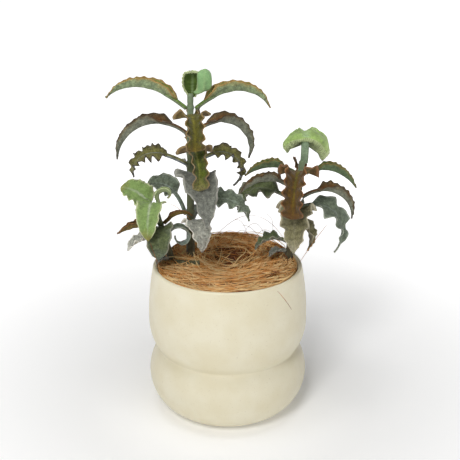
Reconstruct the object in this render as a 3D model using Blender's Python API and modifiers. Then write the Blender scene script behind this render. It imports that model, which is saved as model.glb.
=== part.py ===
"""Felt-leaved kalanchoe with three shoots, in a two-bulge ceramic pot with a coir mulch.

Metres, +Z up. The origin is the middle of the flat foot that the pot stands on, and the side
with the drooping front leaves faces -Y.
"""
from collections import namedtuple
from math import cos, pi, radians, sin

import bmesh
import bpy
import numpy as np

# Pot
POT_HEIGHT = 0.1226
RIM_RADIUS = 0.0595
BOWL_RADIUS = 0.0643
BOWL_HEIGHT = 0.0771
BOWL_DEPTH = 0.0458
BOWL_SQUARENESS = 2.2
RING_RADIUS = 0.0357
RING_HEIGHT = 0.0306
RING_HALF_WIDTH = 0.0291
RING_HALF_HEIGHT = 0.0324
WALL = 0.0036
FLOOR = 0.005
DRAIN_RADIUS = 0.004
DRAIN_CIRCLE = 0.020
DRAIN_COUNT = 3

# Filling
CLEARANCE = 0.0003
COIR_LEVEL_BELOW_RIM = 0.0036
COIR_DEPTH = 0.012
COIR_HEAP = 0.0060
COIR_HEAP_START = -0.15
COIR_HOLLOW = 0.0035
COIR_HOLLOW_SPREAD = 0.35

# Leaves and stems
LEAF_THICKNESS = 0.0016
PETIOLE_HALF_WIDTH = 0.0016
TIP_HALF_WIDTH = 0.001
WIDEST_AT = 0.25
SHOULDER = 0.7
TAPER = 1.8
TIP_POINT = 0.9
FOLD_OPENS = 0.12
FOLD_CLOSES = 0.2
FOLD_ROOM = 3.5
EAR_LENGTH = 0.3
ROLL_LENGTH = 0.35
STEM_BURIED = 0.024
OLD_STEM_RADIUS = 0.0034
OLD_STEM_LENGTH = 0.020
OLD_STEM_FROM_WALL = 0.0235
OLD_STEM_BEARING = 174
OLD_STEM_SKEW = -0.0015

POT_STEPS = 32
LEAF_ROWS = 9
LEAF_COLUMNS = 4
MIDRIB_STEPS = 160

COIR_LEVEL = POT_HEIGHT - COIR_LEVEL_BELOW_RIM

Stem = namedtuple("Stem", "name from_wall bearing lean_x lean_y length base_radius top_radius")
TALL = Stem("tall_stem", 0.0204, 147, 0.0022, -0.0010, 0.1360, 0.0034, 0.0024)
RIGHT = Stem("right_stem", 0.0052, 14, 0.0090, 0.0, 0.0850, 0.0032, 0.0025)
LEFT = Stem("left_stem", 0.0100, 168, -0.0130, -0.0040, 0.0520, 0.0030, 0.0021)

# A stem stands in from the inside of the wall, on a bearing from +X, and leans by the time it
# reaches its growing point.

# A leaf starts at a height above the coir on its stem. turn is the way it points, with 0 along
# +X and 90 along +Y, and sway is how far that changes along it. rise and droop are its slope at
# the stem and at the tip, and bend says how late it bends. fold is the slope of each half of
# the blade beside the midrib and curl is what the margin adds; both turn upwards. ears is how
# far the lobes at the blade's foot reach back, in half widths. Angles are in degrees.
Leaf = namedtuple(
    "Leaf",
    "name stem height turn rise droop petiole blade half_width bend fold curl sway roll ears",
    defaults=(1.6, 45, 25, 0, 0, 0.4),
)

LEAVES = [
    # Tall shoot, from the growing point down
    Leaf("tall_bud_back", TALL, 0.1335, 110, 80, 96, 0.003, 0.017, 0.0064, 1.0, 25, 45, ears=0.2),
    Leaf("tall_bud_front", TALL, 0.1335, 325, 50, 108, 0.005, 0.018, 0.0062, 0.8, 12, 18, 0, -45, 0.2),
    Leaf("tall_leaf_1_left", TALL, 0.1252, 180, 39, -44, 0.020, 0.049, 0.0078, 1.6, 58, 25),
    Leaf("tall_leaf_1_right", TALL, 0.1252, 0, 38, -62, 0.018, 0.049, 0.0078, 1.6, 58, 25),
    Leaf("tall_leaf_2_front", TALL, 0.1150, 279, 48, -104, 0.018, 0.034, 0.0102, 1.1, 38, 20),
    Leaf("tall_leaf_2_back", TALL, 0.1110, 89, 15, -80, 0.018, 0.044, 0.0075, 1.6),
    Leaf("tall_leaf_3_left", TALL, 0.1058, 180, 41, -84, 0.020, 0.053, 0.0074, 1.0, 60, 25),
    Leaf("tall_leaf_3_right", TALL, 0.1058, 10, 44, -108, 0.018, 0.049, 0.0074, 1.1, 60, 25),
    Leaf("tall_leaf_4_front", TALL, 0.0895, 284, 58, -104, 0.014, 0.039, 0.0090, 0.8, 38, 20),
    Leaf("tall_leaf_4_back", TALL, 0.0880, 92, 18, -80, 0.018, 0.046, 0.0080, 1.5),
    Leaf("tall_leaf_5_left", TALL, 0.0808, 180, 28, -110, 0.018, 0.039, 0.0052, 2.0, 50, 25),
    Leaf("tall_leaf_5_right", TALL, 0.0808, 14, 36, -150, 0.016, 0.047, 0.0052, 1.5, 50, 25),
    Leaf("tall_leaf_6_front", TALL, 0.0715, 284, 44, -92, 0.010, 0.053, 0.0150, 0.7, 12, 10, 12),
    Leaf("tall_leaf_6_back", TALL, 0.0670, 92, 18, -75, 0.018, 0.048, 0.0090, 1.4, 30),
    Leaf("tall_leaf_7_left", TALL, 0.0380, 172, 72, -50, 0.022, 0.026, 0.0105, 1.9, 40, 20),
    Leaf("tall_leaf_7_right", TALL, 0.0430, 338, 45, -80, 0.018, 0.038, 0.0080, 1.3, 40, 20, 20),
    Leaf("tall_leaf_8_front", TALL, 0.0300, 285, 62, -104, 0.010, 0.034, 0.0100, 0.9, 12, 15, 10),
    Leaf("tall_leaf_8_back", TALL, 0.0300, 80, 18, -60, 0.015, 0.034, 0.0090, 1.4, 30),
    # Right shoot
    Leaf("right_leaf_1_back", RIGHT, 0.0850, 70, 84, -36, 0.013, 0.042, 0.0205, 0.8, -15, -40,
         roll=10, ears=0.9),
    Leaf("right_leaf_2_left", RIGHT, 0.0750, 186, 38, -38, 0.012, 0.032, 0.0065, 0.9, 50, 25, -6),
    Leaf("right_leaf_2_right", RIGHT, 0.0750, 0, 40, -56, 0.012, 0.035, 0.0065, 0.7, 50, 25),
    Leaf("right_leaf_3_front", RIGHT, 0.0700, 257, 66, -110, 0.015, 0.050, 0.0110, 0.9, 36, 18),
    Leaf("right_leaf_3_back", RIGHT, 0.0700, 86, 20, -70, 0.015, 0.040, 0.0080, 1.4),
    Leaf("right_leaf_4_left", RIGHT, 0.0620, 206, 42, -48, 0.014, 0.038, 0.0066, 1.2, 55, 25, -15),
    Leaf("right_leaf_4_right", RIGHT, 0.0555, 350, 38, -95, 0.015, 0.040, 0.0070, 1.2, 55, 25),
    Leaf("right_leaf_5_left", RIGHT, 0.0520, 160, 28, -95, 0.016, 0.041, 0.0095, 1.8, 45, 25, 20),
    Leaf("right_leaf_5_right", RIGHT, 0.0465, 0, 30, -128, 0.012, 0.055, 0.0090, 0.9, 40, 20),
    Leaf("right_leaf_6_front", RIGHT, 0.0430, 266, 60, -104, 0.009, 0.047, 0.0135, 0.8, 15, 20, -6),
    Leaf("right_leaf_6_back", RIGHT, 0.0360, 84, 18, -65, 0.014, 0.036, 0.0090, 1.4, 30),
    Leaf("right_leaf_7_left", RIGHT, 0.0180, 190, 34, -60, 0.008, 0.022, 0.0080, 1.0, 15, 20),
    Leaf("right_leaf_7_right", RIGHT, 0.0340, 340, 20, -114, 0.003, 0.026, 0.0080, 0.5, 25, 20),
    Leaf("right_leaf_8_left", RIGHT, 0.0100, 200, 24, -50, 0.006, 0.010, 0.0045, 1.0, 15, 20),
    # Left shoot
    Leaf("left_leaf_1_front", LEFT, 0.0515, 265, 50, -102, 0.003, 0.039, 0.0105, 0.7, 10, 18),
    Leaf("left_leaf_1_back", LEFT, 0.0515, 162, 42, -5, 0.004, 0.024, 0.0110, 1.5, 10, 12, 0, -35),
    Leaf("left_leaf_2_right", LEFT, 0.0510, 0, 100, -150, 0.004, 0.020, 0.0034, 1.8, 40, 25),
    Leaf("left_leaf_2_left", LEFT, 0.0340, 180, 6, -28, 0.006, 0.027, 0.0060, 0.7, 50, 20),
    Leaf("left_leaf_3_right", LEFT, 0.0350, 6, 45, -36, 0.006, 0.020, 0.0032, 1.5, 60, 20),
    Leaf("left_leaf_3_left", LEFT, 0.0210, 215, 28, -56, 0.009, 0.023, 0.0075, 1.3, 20, 20, -12),
    Leaf("left_leaf_4_front", LEFT, 0.0300, 266, 60, -108, 0.004, 0.036, 0.0115, 0.8, 10, 18, 12),
    Leaf("left_leaf_4_right", LEFT, 0.0270, 5, 40, -285, 0.005, 0.037, 0.0060, 1.5, 5, 10, 12),
    Leaf("left_leaf_5_front", LEFT, 0.0050, 235, 25, -30, 0.003, 0.011, 0.0045, 1.2, 15, 20),
]


# Geometry

def bowl_radius(z):
    """Outer radius of the upper bulge: a flat curve to the rim, a superellipse below."""
    above = np.clip((z - BOWL_HEIGHT) / (POT_HEIGHT - BOWL_HEIGHT), 0, 1)
    below = np.clip((BOWL_HEIGHT - z) / BOWL_DEPTH, 0, 1)
    upper = BOWL_RADIUS - (BOWL_RADIUS - RIM_RADIUS) * above**2
    return upper * (1 - below**BOWL_SQUARENESS) ** (1 / BOWL_SQUARENESS)


def ring_radius(z):
    """Outer radius of the lower bulge: an ellipse turned about the pot's axis."""
    across = np.clip(1 - ((z - RING_HEIGHT) / RING_HALF_HEIGHT) ** 2, 0, 1)
    return RING_RADIUS * (across > 0) + RING_HALF_WIDTH * np.sqrt(across)


def outer_radius(z):
    """The two bulges meet at a crease, where one radius passes the other."""
    return np.maximum(bowl_radius(z), ring_radius(z))


def inner_radius(z):
    """The cavity, one wall thickness inside, measured square to the outer surface."""
    step = WALL / 8
    slope = (outer_radius(z + step) - outer_radius(z - step)) / (2 * step)
    return outer_radius(z) - WALL * np.sqrt(1 + np.clip(slope, -1.2, 1.2) ** 2)


def coir_top(x, y):
    """Height of the nest: heaped towards the back, with a shallow hollow in the middle."""
    reach = inner_radius(np.array(COIR_LEVEL))
    back = np.clip((y / reach - COIR_HEAP_START) / (1 - COIR_HEAP_START), 0, 1)
    middle = np.exp(-(x**2 + y**2) / (COIR_HOLLOW_SPREAD * reach) ** 2)
    return COIR_LEVEL + COIR_HEAP * back**1.5 - COIR_HOLLOW * middle


def beside_wall(from_wall, bearing):
    """A point at the coir level, set in from the inside of the wall."""
    reach = float(inner_radius(np.array(COIR_LEVEL))) - from_wall
    angle = radians(bearing)
    return np.array((reach * cos(angle), reach * sin(angle), COIR_LEVEL))


def stem_point(stem, height):
    """A point on the leaning axis, at a height above the coir."""
    share = height / stem.length
    foot = beside_wall(stem.from_wall, stem.bearing)
    return foot + np.array((stem.lean_x * share, stem.lean_y * share, height))


def stem_radius(stem, height):
    """The stem tapers evenly above the coir."""
    share = np.clip(height / stem.length, 0, 1)
    return stem.base_radius + (stem.top_radius - stem.base_radius) * share


def leaf_frame(leaf, share):
    """The ways forward, to the side and up at a share of a leaf's length."""
    slope = np.radians(leaf.rise + (leaf.droop - leaf.rise) * share**leaf.bend)
    heading = np.radians(leaf.turn + leaf.sway * share)
    level = np.stack((np.cos(heading), np.sin(heading), 0 * share), -1)
    forward = level * np.cos(slope)[..., None] + np.sin(slope)[..., None] * np.array((0, 0, 1))
    side = np.stack((-np.sin(heading), np.cos(heading), 0 * share), -1)
    return forward, side, np.cross(forward, side)


def leaf_midrib(leaf, share):
    """Points on the midrib, stepped out from the stem along the way forward."""
    stops = np.linspace(0, 1, MIDRIB_STEPS + 1)
    forward = leaf_frame(leaf, (stops[1:] + stops[:-1]) / 2)[0]
    steps = forward * (leaf.petiole + leaf.blade) / MIDRIB_STEPS
    edge_of_stem = float(stem_radius(leaf.stem, leaf.height)) + CLEARANCE
    stand_off = edge_of_stem + LEAF_THICKNESS / 2 * abs(sin(radians(leaf.rise)))
    outward = np.array((cos(radians(leaf.turn)), sin(radians(leaf.turn)), 0))
    start = stem_point(leaf.stem, leaf.height) + outward * stand_off
    points = start + np.vstack((np.zeros(3), np.cumsum(steps, 0)))
    return np.stack([np.interp(share, stops, points[:, axis]) for axis in range(3)], -1)


def leaf_width(leaf, blade):
    """Half width along the blade: a rounded shoulder up to the widest line, then a long taper."""
    on_blade = np.clip(blade, 0, 1)
    before = np.clip(on_blade / WIDEST_AT, 0, 1)
    after = np.clip((on_blade - WIDEST_AT) / (1 - WIDEST_AT), 0, 1)
    rising = np.sin(before * pi / 2) ** SHOULDER
    falling = (1 - after**TAPER) ** TIP_POINT
    width = leaf.half_width * np.where(on_blade < WIDEST_AT, rising, falling)
    return np.maximum(width, np.where(blade <= 0, PETIOLE_HALF_WIDTH, TIP_HALF_WIDTH))


def leaf_surface(leaf, along, across):
    """Points on a leaf. along runs 0 to 1 from stem to tip, across runs -1 to 1 over the width.

    Each half of the blade leaves the midrib on an arc that starts at fold and turns by curl.
    Both ease in at the foot of the blade and out at its tip, and stay low where the blade is
    narrow for its thickness, so that the two halves keep clear. The whole may roll about the
    midrib.
    """
    total = leaf.petiole + leaf.blade
    blade = (along * total - leaf.petiole) / leaf.blade
    width = leaf_width(leaf, blade)
    easing = np.clip(blade / FOLD_OPENS, 0, 1) * np.clip((1 - blade) / FOLD_CLOSES, 0, 1)
    easing = easing * np.clip(width / (FOLD_ROOM * LEAF_THICKNESS), 0, 1)
    fold = np.radians(leaf.fold) * easing
    curl = np.radians(leaf.curl) * easing + 1e-6
    edge = np.abs(across)
    flat = np.sign(across) * width * (np.sin(fold + curl * edge) - np.sin(fold)) / curl
    raised = width * (np.cos(fold) - np.cos(fold + curl * edge)) / curl
    roll = np.radians(leaf.roll) * np.clip(along / ROLL_LENGTH, 0, 1)
    lateral = flat * np.cos(roll) - raised * np.sin(roll)
    lift = flat * np.sin(roll) + raised * np.cos(roll)
    ear_shape = edge**2 * np.exp(-((blade / EAR_LENGTH) ** 2)) * (blade > 0)
    ears = leaf.ears * leaf.half_width * ear_shape
    forward, side, up = leaf_frame(leaf, along)
    moved = side * lateral[..., None] + up * lift[..., None] - forward * ears[..., None]
    return leaf_midrib(leaf, along) + moved


# Building

def add_object(name, mesh, material=None, collection=None):
    """Link a mesh to a collection as a named object."""
    piece = bpy.data.objects.new(name, mesh)
    (collection or parts).objects.link(piece)
    if material:
        mesh.materials.append(material)
    return piece


def shade(mesh, angle=40):
    mesh.shade_smooth()
    mesh.set_sharp_from_angle(angle=radians(angle))


def baked(source, name):
    """A mesh copy of an object as it is evaluated, with its loose caps welded."""
    bpy.context.view_layer.update()
    depsgraph = bpy.context.evaluated_depsgraph_get()
    mesh = bpy.data.meshes.new_from_object(source.evaluated_get(depsgraph))
    mesh.name = name
    work = bmesh.new()
    work.from_mesh(mesh)
    bmesh.ops.remove_doubles(work, verts=work.verts, dist=0.00001)
    bmesh.ops.recalc_face_normals(work, faces=work.faces)
    work.to_mesh(mesh)
    work.free()
    return mesh


def turned(name, profile, material, steps=POT_STEPS):
    """A profile of (radius, height) points turned about the Z axis."""
    mesh = bpy.data.meshes.new(name)
    points = [(r, 0.0, z) for r, z in profile]
    mesh.from_pydata(points, [(i, i + 1) for i in range(len(points) - 1)], [])
    piece = add_object(name, mesh, material)
    screw = piece.modifiers.new("Screw", "SCREW")
    screw.steps = steps
    screw.render_steps = steps
    screw.use_merge_vertices = True
    screw.merge_threshold = 0.00005
    screw.use_normal_calculate = True
    return piece


def tube(name, points, radii, material=None, collection=None, sides=3):
    """A round bar through points, with a radius at each of them and closed ends."""
    curve = bpy.data.curves.new(name, "CURVE")
    curve.dimensions = "3D"
    curve.bevel_depth = 1.0
    curve.bevel_resolution = sides
    curve.use_fill_caps = True
    spline = curve.splines.new("POLY")
    spline.points.add(len(points) - 1)
    for target, point, radius in zip(spline.points, points, radii):
        target.co = (*point, 1)
        target.radius = radius
    guide = bpy.data.objects.new(name + "_guide", curve)
    bpy.context.scene.collection.objects.link(guide)
    mesh = baked(guide, name)
    bpy.data.objects.remove(guide)
    piece = add_object(name, mesh, material, collection)
    shade(mesh)
    return piece


def cut(piece, cutter):
    """Take one cutter out of a piece, exactly."""
    cutter.hide_render = True
    cutter.display_type = "WIRE"
    boolean = piece.modifiers.new(cutter.name, "BOOLEAN")
    boolean.operation = "DIFFERENCE"
    boolean.solver = "EXACT"
    boolean.object = cutter


def finish(name, colour, roughness):
    """A Principled material with its linear colour."""
    material = bpy.data.materials.new(name)
    material.use_nodes = True
    shader = material.node_tree.nodes["Principled BSDF"]
    shader.inputs["Base Color"].default_value = (*colour, 1)
    shader.inputs["Roughness"].default_value = roughness
    shader.inputs["Metallic"].default_value = 0.0
    return material


def make_pot():
    """One turned ceramic shell with a round lip, and drain holes round its middle."""
    lip = WALL / 2
    lip_height = POT_HEIGHT - lip
    upper = np.linspace(lip_height, BOWL_HEIGHT, 5)
    outside = [(float(outer_radius(z)), z) for z in np.concatenate((upper, crease_heights(), (0.0,)))]
    inside = [(float(inner_radius(z)), z) for z in cavity_heights()]
    lip_centre = float(outer_radius(lip_height)) - lip
    swing = np.linspace(pi, 0, 7)[1:-1]
    rounding = [(lip_centre + lip * cos(a), lip_height + lip * sin(a)) for a in swing]
    profile = [(0.0, FLOOR)] + inside[::-1] + rounding + outside + [(0.0, 0.0)]
    pot = turned("pot", profile, finish("cream_glazed_ceramic", (0.79, 0.74, 0.60), 0.42))
    for number in range(DRAIN_COUNT):
        cut(pot, drain_cutter(number))


def drain_cutter(number):
    """A short round bar through the floor, on the circle of drain holes."""
    angle = 2 * pi * number / DRAIN_COUNT + pi / 2
    centre = (DRAIN_CIRCLE * cos(angle), DRAIN_CIRCLE * sin(angle), 0.0)
    mesh = bpy.data.meshes.new(f"drain_cutter_{number + 1}")
    work = bmesh.new()
    bmesh.ops.create_cone(work, cap_ends=True, segments=20, radius1=DRAIN_RADIUS,
                          radius2=DRAIN_RADIUS, depth=4 * FLOOR)
    bmesh.ops.translate(work, verts=work.verts, vec=centre)
    work.to_mesh(mesh)
    work.free()
    return add_object(mesh.name, mesh, collection=cutters)


def crease_heights():
    """Heights down the outside below the widest line, closer together round the crease."""
    heights = np.linspace(BOWL_HEIGHT, 0, 400)
    upper = bowl_radius(heights) > ring_radius(heights)
    crease = heights[upper].min()
    bowl = BOWL_HEIGHT - (BOWL_HEIGHT - crease) * np.sin(np.linspace(0, pi / 2, 7))[1:]
    swing = np.linspace(0, pi, 11)[1:-1]
    ring = (crease / 2) * (1 + np.cos(swing))
    return np.concatenate((bowl, ring))


def cavity_heights():
    """Heights down the inside, from the lip to the floor."""
    upper = np.linspace(POT_HEIGHT - WALL / 2, BOWL_HEIGHT, 5)
    below = crease_heights()
    return np.concatenate((upper, below[below > FLOOR + 0.001], (FLOOR,)))


def make_potting_mix():
    """Fills the cavity from the floor to the underside of the coir."""
    top = COIR_LEVEL - COIR_DEPTH - CLEARANCE
    bottom = FLOOR + CLEARANCE
    heights = cavity_heights()
    between = heights[(heights < top - 0.001) & (heights > FLOOR + 0.001)]
    wall = [(float(inner_radius(z)) - CLEARANCE, z) for z in (top, *between)]
    foot = (float(inner_radius(np.array(FLOOR))) - CLEARANCE, bottom)
    profile = [(0.0, top)] + wall + [foot, (0.0, bottom)]
    return turned("potting_mix", profile, finish("potting_mix", (0.045, 0.028, 0.018), 0.95))


def make_coir():
    """A thick mat inside the rim, its top moved to the height of the nest."""
    bottom = COIR_LEVEL - COIR_DEPTH
    narrowest = float(inner_radius(np.array(POT_HEIGHT - WALL / 2)))
    reach = min(narrowest, float(inner_radius(np.array(bottom)))) - CLEARANCE
    rings = [(reach * share, COIR_LEVEL) for share in np.linspace(0, 1, 7)]
    profile = rings + [(reach, bottom), (0.0, bottom)]
    flat = turned("coir_flat", profile, None)
    mesh = baked(flat, "coir_mulch")
    bpy.data.objects.remove(flat)
    for vertex in mesh.vertices:
        if vertex.co.z > COIR_LEVEL - 1e-5:
            vertex.co.z = float(coir_top(vertex.co.x, vertex.co.y))
    shade(mesh)
    return add_object("coir_mulch", mesh, finish("coconut_coir", (0.46, 0.24, 0.09), 0.9))


def make_stem(stem, material):
    """A tapered stem and the cutter for its hole in the coir and the mix."""
    heights = np.linspace(-STEM_BURIED, stem.length, 9)
    points = [stem_point(stem, h) for h in heights]
    radii = [float(stem_radius(stem, h)) for h in heights]
    tube(stem.name, points, radii, material)
    deeper = [stem_point(stem, h) for h in (-STEM_BURIED - CLEARANCE, 0.0, stem.length / 2)]
    return tube(stem.name + "_cutter", deeper, [stem.base_radius + CLEARANCE] * 3, None, cutters)


def make_old_stem(material):
    """A cut length of old stem, half sunk in the coir at the left."""
    centre = beside_wall(OLD_STEM_FROM_WALL, OLD_STEM_BEARING)
    centre[2] += OLD_STEM_RADIUS / 4
    half = np.array((OLD_STEM_LENGTH / 2, OLD_STEM_SKEW, 0.0))
    tube("old_stem", [centre - half, centre, centre + half], [OLD_STEM_RADIUS] * 3, material)
    longer = half * (1 + 2 * CLEARANCE / OLD_STEM_LENGTH)
    radii = [OLD_STEM_RADIUS + CLEARANCE] * 3
    return tube("old_stem_cutter", [centre - longer, centre, centre + longer], radii, None, cutters)


def make_leaf(leaf, material):
    """A grid bent to the leaf's surface and given its thickness."""
    mesh = bpy.data.meshes.new(leaf.name)
    work = bmesh.new()
    bmesh.ops.create_grid(work, x_segments=LEAF_ROWS, y_segments=LEAF_COLUMNS, size=0.5)
    flat = np.array([vertex.co for vertex in work.verts])
    bent = leaf_surface(leaf, flat[:, 0] + 0.5, flat[:, 1] * 2)
    for vertex, point in zip(work.verts, bent):
        vertex.co = point
    work.to_mesh(mesh)
    work.free()
    piece = add_object(leaf.name, mesh, material)
    solid = piece.modifiers.new("Thickness", "SOLIDIFY")
    solid.thickness = LEAF_THICKNESS
    solid.offset = 0.0
    shade(mesh)


for old in list(bpy.data.objects):
    bpy.data.objects.remove(old)
parts = bpy.data.collections.new("potted_kalanchoe")
cutters = bpy.data.collections.new("cutters")
bpy.context.scene.collection.children.link(parts)
bpy.context.scene.collection.children.link(cutters)

felt_stem = finish("felted_stem", (0.33, 0.42, 0.27), 0.85)
old_bark = finish("old_bark", (0.17, 0.15, 0.09), 0.9)
green_felt = finish("green_felt_leaf", (0.24, 0.36, 0.14), 0.85)
grey_felt = finish("grey_felt_leaf", (0.30, 0.34, 0.29), 0.9)
brown_felt = finish("brown_felt_leaf", (0.22, 0.16, 0.07), 0.9)
GREEN_LEAVES = (
    "tall_bud", "tall_leaf_1", "tall_leaf_4", "right_leaf_1", "right_leaf_2", "left_leaf_1",
    "left_leaf_2_right",
)
BROWN_LEAVES = (
    "tall_leaf_2", "tall_leaf_5", "right_leaf_3", "left_leaf_2_left", "left_leaf_3_right",
)

make_pot()
mix = make_potting_mix()
coir = make_coir()
for shoot in (TALL, RIGHT, LEFT):
    hole = make_stem(shoot, felt_stem)
    cut(mix, hole)
    cut(coir, hole)
cut(coir, make_old_stem(old_bark))
for row in LEAVES:
    felt = grey_felt
    if row.name.startswith(GREEN_LEAVES):
        felt = green_felt
    if row.name.startswith(BROWN_LEAVES):
        felt = brown_felt
    make_leaf(row, felt)
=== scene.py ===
"""Felt-leaved kalanchoe in a two-bulge ceramic pot: fine surfaces and finishes around the frame.

Metres, +Z up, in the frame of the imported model. Every leaf and stem is worked out about its own
start and then moved so that its plain form fills the box of the solid that it stands for.
"""
from collections import namedtuple
from math import radians

import bpy
import numpy as np
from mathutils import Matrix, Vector


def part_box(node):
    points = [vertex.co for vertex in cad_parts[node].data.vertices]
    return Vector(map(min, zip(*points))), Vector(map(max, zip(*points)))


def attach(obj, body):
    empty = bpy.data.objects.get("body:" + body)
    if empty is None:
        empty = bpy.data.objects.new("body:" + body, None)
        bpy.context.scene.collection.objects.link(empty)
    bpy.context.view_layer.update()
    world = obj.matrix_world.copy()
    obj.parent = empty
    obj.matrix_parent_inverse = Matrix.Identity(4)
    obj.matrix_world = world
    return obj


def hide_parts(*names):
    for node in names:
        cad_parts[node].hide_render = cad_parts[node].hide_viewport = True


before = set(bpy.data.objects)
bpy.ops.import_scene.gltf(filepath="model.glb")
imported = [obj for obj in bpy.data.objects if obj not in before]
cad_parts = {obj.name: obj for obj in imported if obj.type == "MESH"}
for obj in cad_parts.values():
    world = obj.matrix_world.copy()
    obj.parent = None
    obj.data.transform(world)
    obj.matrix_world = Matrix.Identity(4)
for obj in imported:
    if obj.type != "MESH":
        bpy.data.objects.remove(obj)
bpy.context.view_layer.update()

# Pot
POT_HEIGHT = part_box("pot")[1].z
RIM_RADIUS = 0.0595
BOWL_RADIUS = 0.0643
BOWL_HEIGHT = 0.0771
BOWL_DEPTH = 0.0458
BOWL_SQUARENESS = 2.2
RING_RADIUS = 0.0357
RING_HEIGHT = 0.0306
RING_HALF_WIDTH = 0.0291
RING_HALF_HEIGHT = 0.0324
WALL = 0.0036
FLOOR = 0.005
DRAIN_RADIUS = 0.004
DRAIN_CIRCLE = 0.020
DRAIN_COUNT = 3
HEEL = 0.0016
CREASE_FILL = 0.0006

# Coir
COIR_LOW, COIR_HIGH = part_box("coir_mulch")
COIR_REACH = (COIR_HIGH.x - COIR_LOW.x) / 2
COIR_LEVEL = POT_HEIGHT - 0.0036
COIR_HEAP = 0.0060
COIR_HEAP_START = -0.15
COIR_HOLLOW = 0.0035
COIR_HOLLOW_SPREAD = 0.35
SWIRL = np.array((0.004, 0.024))
HOLLOW_REACH = 0.011
MAT_STEP = 0.0030
MAT_HOLLOW = 0.0035
MAT_HOLLOW_REACH = 0.014
MAT_WAVES = 26
MAT_WAVE_HEIGHT = 0.00022
FIBRE_LENGTHS = (0.028, 0.085)
FIBRE_RADII = (0.00018, 0.00046)
FIBRE_POINTS = 13

# Leaves
WIDEST_AT = 0.25
SHOULDER = 0.7
FOLD_OPENS = 0.12
FOLD_CLOSES = 0.2
FOLD_ROOM = 3.5
FOLD_TURN = 0.14
FOOT_AT = 0.10
FOOT_SPAN = 0.12
LEAF_THICKNESS = 0.0016
EAR_LENGTH = 0.3
ROLL_LENGTH = 0.35
PETIOLE_HALF_WIDTH = 0.0016
TIP_HALF_WIDTH = 0.0008
BLADE_HALF_THICKNESS = 0.00045
KEEL_HALF_THICKNESS = 0.0011
KEEL_HALF_WIDTH = 0.0016
STALK_CROWN = 0.0006
PETIOLE_ROWS = 18
BLADE_ROWS = 96
COLUMNS = 15
MIDRIB_STEPS = 160

# A leaf starts on its stem and turns about Z from +X. Its slope goes from rise to droop, and bend
# says how late; sway turns it on the way and roll twists it. petiole and blade are lengths, and
# half_width is the blade's at its widest. Angles are in degrees.
#   blade: taper is low for a long point and high for a square one, and blunt rounds the tip; wide
#     stretches both halves, lobe widens the foot and back sweeps the foot's margin backwards
#   stalk: half width of the petiole
#   halves: fold stands both halves up, stand adds to that, curl goes on to the margin, sag lets
#     the foot's margin hang, drop lowers only the half towards -Y, flare only that half's foot
#   margin: teeth is how many and tooth how long; ruffle is the swing of its waves and waves how
#     many; rim turns it back
#   surface: lumps is the height of its bumps
# ears sizes the lobes of the plain form and shift moves the leaf in X, to match its neighbours.
Leaf = namedtuple(
    "Leaf",
    "node turn rise droop petiole blade half_width bend fold curl sway roll ears felt "
    "teeth tooth ruffle waves rim drop flare lobe back taper blunt lumps stalk stand sag wide shift",
    defaults=(1.6, 45, 25, 0, 0, 0.4, "grey", 10, 0.0010, 22, 4, 0, 0, 0, 0.0, 0.4, 1.8, 0.9,
              0.0006, 0.0016, 0, 0, 1, 0),
)

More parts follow.
